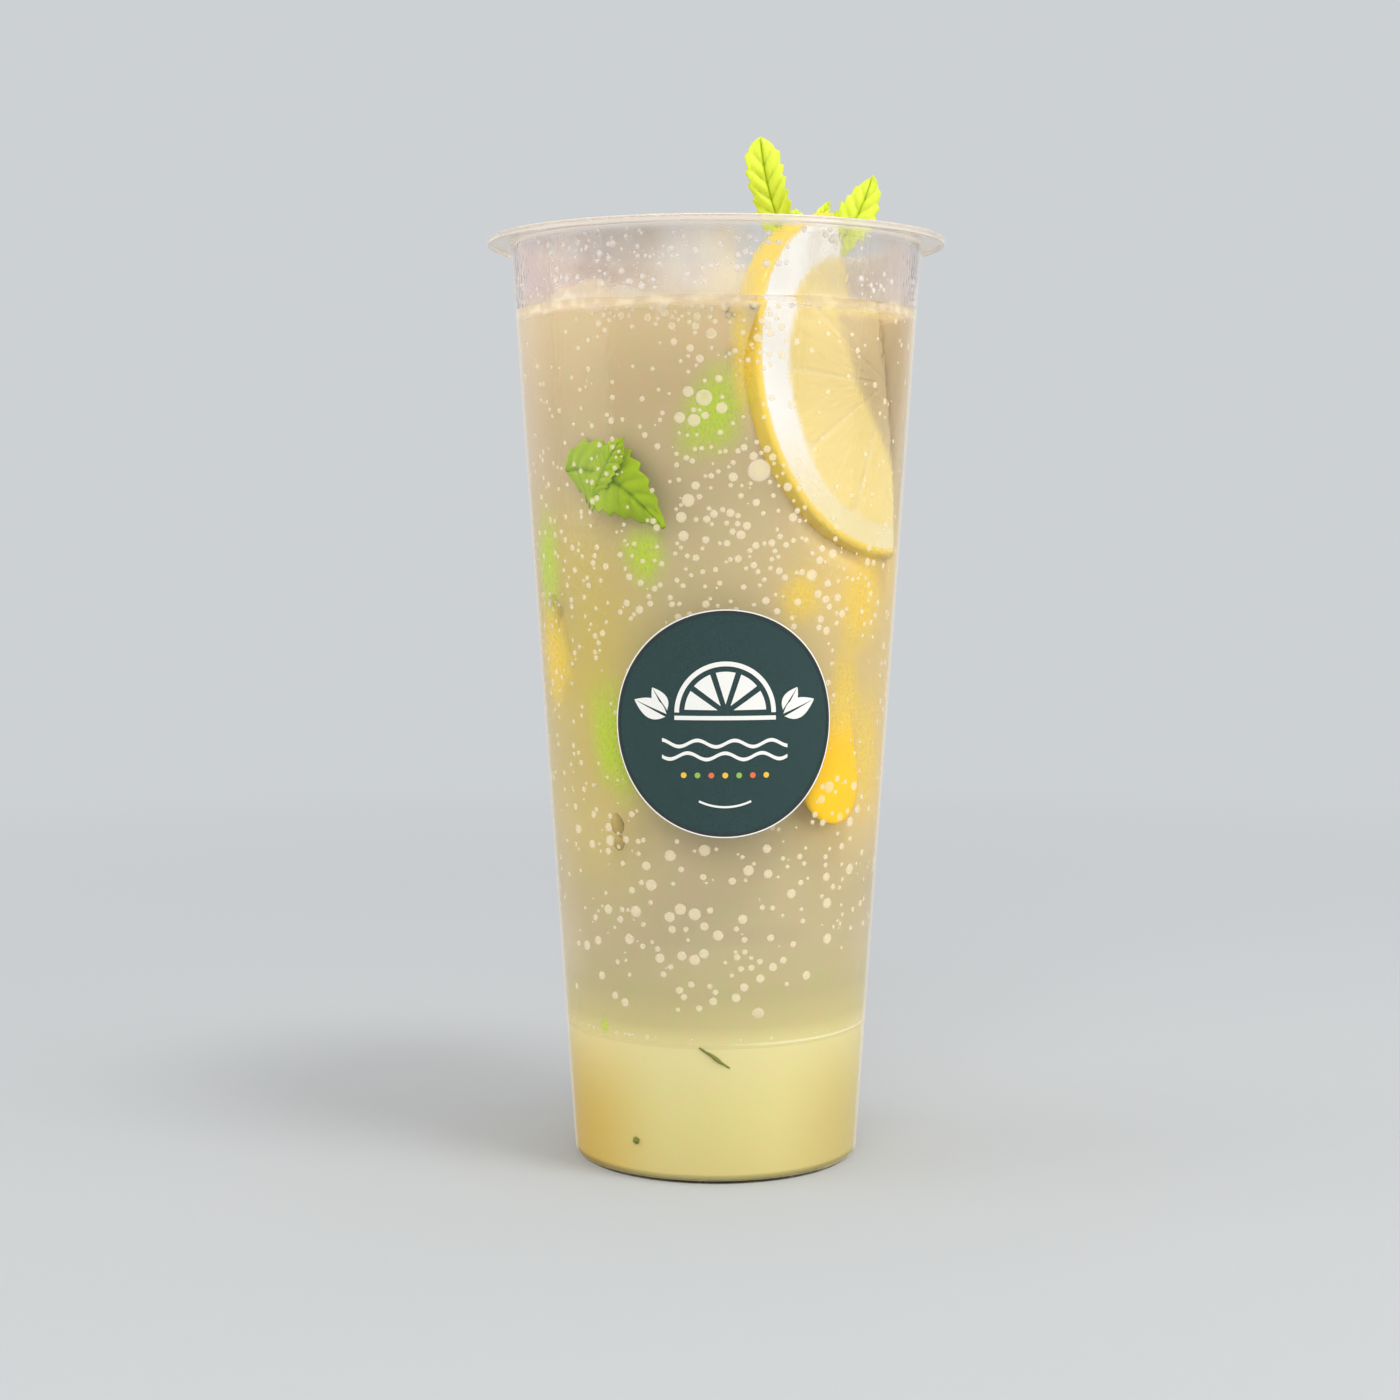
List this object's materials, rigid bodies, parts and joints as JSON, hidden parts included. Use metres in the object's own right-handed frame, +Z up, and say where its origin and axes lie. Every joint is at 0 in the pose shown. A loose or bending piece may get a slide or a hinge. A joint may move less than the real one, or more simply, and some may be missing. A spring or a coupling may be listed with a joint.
{
  "type": "virgin mojito in a clear takeaway cup",
  "caption": "Tall clear tapered takeaway cup of cloudy iced citrus soda with a half wheel of lemon and a mint sprig standing out of the top and a round label on the front.",
  "frame": {"origin": "centre of the foot ring, on the surface that the cup stands on", "axes": "+Z up along the cup's axis; -Y is the front, the side with the label; +X is to the right seen from the front"},
  "size_m": [0.09, 0.09, 0.202],
  "materials": {
    "clear_plastic": "clear, thin, smooth",
    "label_paper": "printed, matte",
    "cloudy_soda": "cloudy liquid",
    "settled_juice": "cloudy liquid with pulp",
    "lemon": "wet fruit, waxy rind",
    "mint": "veined leaf",
    "ice": "wet, rounded by melting"
  },
  "bodies": {
    "root": {"cup": "clear_plastic", "label": "label_paper", "drink": "cloudy_soda", "pulp_layer": "settled_juice", "lemon_slice": "lemon", "mint_sprig": "mint", "ice_cube_1": "ice", "ice_cube_2": "ice"}
  },
  "joints": []
}
